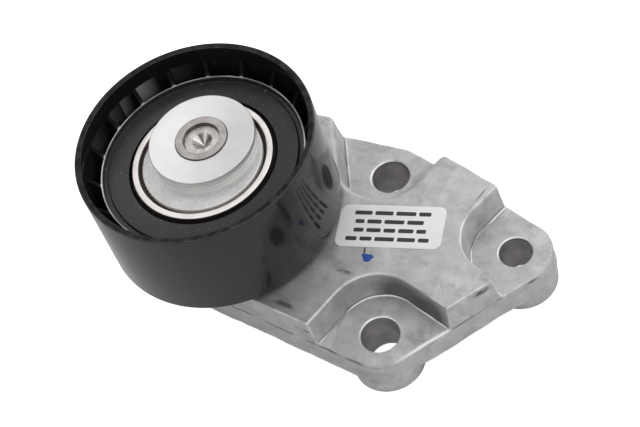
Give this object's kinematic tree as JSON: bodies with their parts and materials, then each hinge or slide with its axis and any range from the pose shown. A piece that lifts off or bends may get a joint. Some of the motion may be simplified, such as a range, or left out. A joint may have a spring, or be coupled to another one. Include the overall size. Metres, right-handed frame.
{
  "type": "belt tensioner idler",
  "caption": "Automatic belt tensioner: a die-cast base with bolt lugs, a sprung eccentric arm on a fixed pin, and a ribbed plastic idler pulley on a ball bearing.",
  "frame": {"origin": "on the pivot axis, in the plane of the base's mounting pads", "axes": "+Z along the pivot axis from the pads to the pulley's open front, +X from the pivot towards the far bolt lug"},
  "size_m": [0.113, 0.0684, 0.0505],
  "materials": {
    "cast_aluminium": "die-cast, softly grained, dull silver grey",
    "steel": "turned steel, fine concentric marks",
    "sintered_steel": "sintered steel, fine sand texture",
    "bearing_steel": "ground bearing steel",
    "spring_steel": "drawn and oiled spring wire",
    "black_polymer": "glass-filled nylon, polished running face",
    "seal_rubber": "matt seal rubber",
    "bush_polymer": "self-lubricating bush polymer",
    "cage_polymer": "moulded cage nylon",
    "label_film": "printed white label film"
  },
  "bodies": {
    "base": {"base_casting": "cast_aluminium", "pivot_pin": "steel", "thrust_washer": "bush_polymer", "damping_ring": "bush_polymer", "torsion_spring": "spring_steel", "deck_label": "label_film", "thrust_disc": "steel"},
    "arm": {"eccentric_arm": "cast_aluminium", "pivot_bush": "bush_polymer", "inner_race": "bearing_steel", "bearing_retainer": "sintered_steel", "dust_shield": "steel"},
    "pulley": {"pulley": "black_polymer", "outer_race": "bearing_steel", "front_seal": "seal_rubber", "rear_seal": "seal_rubber"},
    "cage": {"ball_cage": "cage_polymer", "ball_01": "bearing_steel", "ball_02": "bearing_steel", "ball_03": "bearing_steel", "ball_04": "bearing_steel", "ball_05": "bearing_steel", "ball_06": "bearing_steel", "ball_07": "bearing_steel", "ball_08": "bearing_steel", "ball_09": "bearing_steel", "ball_10": "bearing_steel", "ball_11": "bearing_steel", "ball_12": "bearing_steel"}
  },
  "joints": [
    {"name": "arm_swing", "type": "hinge", "parent": "base", "child": "arm", "pos_m": [0, 0, 0], "axis": [0, 0, 1], "range_deg": [0, 60], "stiffness_Nm_per_rad": 0.8, "springref_deg": -51.57, "deforming": ["torsion_spring"]},
    {"name": "pulley_spin", "type": "hinge", "parent": "arm", "child": "pulley", "pos_m": [0.00025, -0.00329, 0], "axis": [0, 0, 1], "continuous": true},
    {"name": "cage_spin", "type": "hinge", "parent": "arm", "child": "cage", "pos_m": [0.00025, -0.00329, 0], "axis": [0, 0, 1], "continuous": true}
  ],
  "couplings": [
    {"joint": "cage_spin", "follows": "pulley_spin", "ratio": 0.5753}
  ]
}
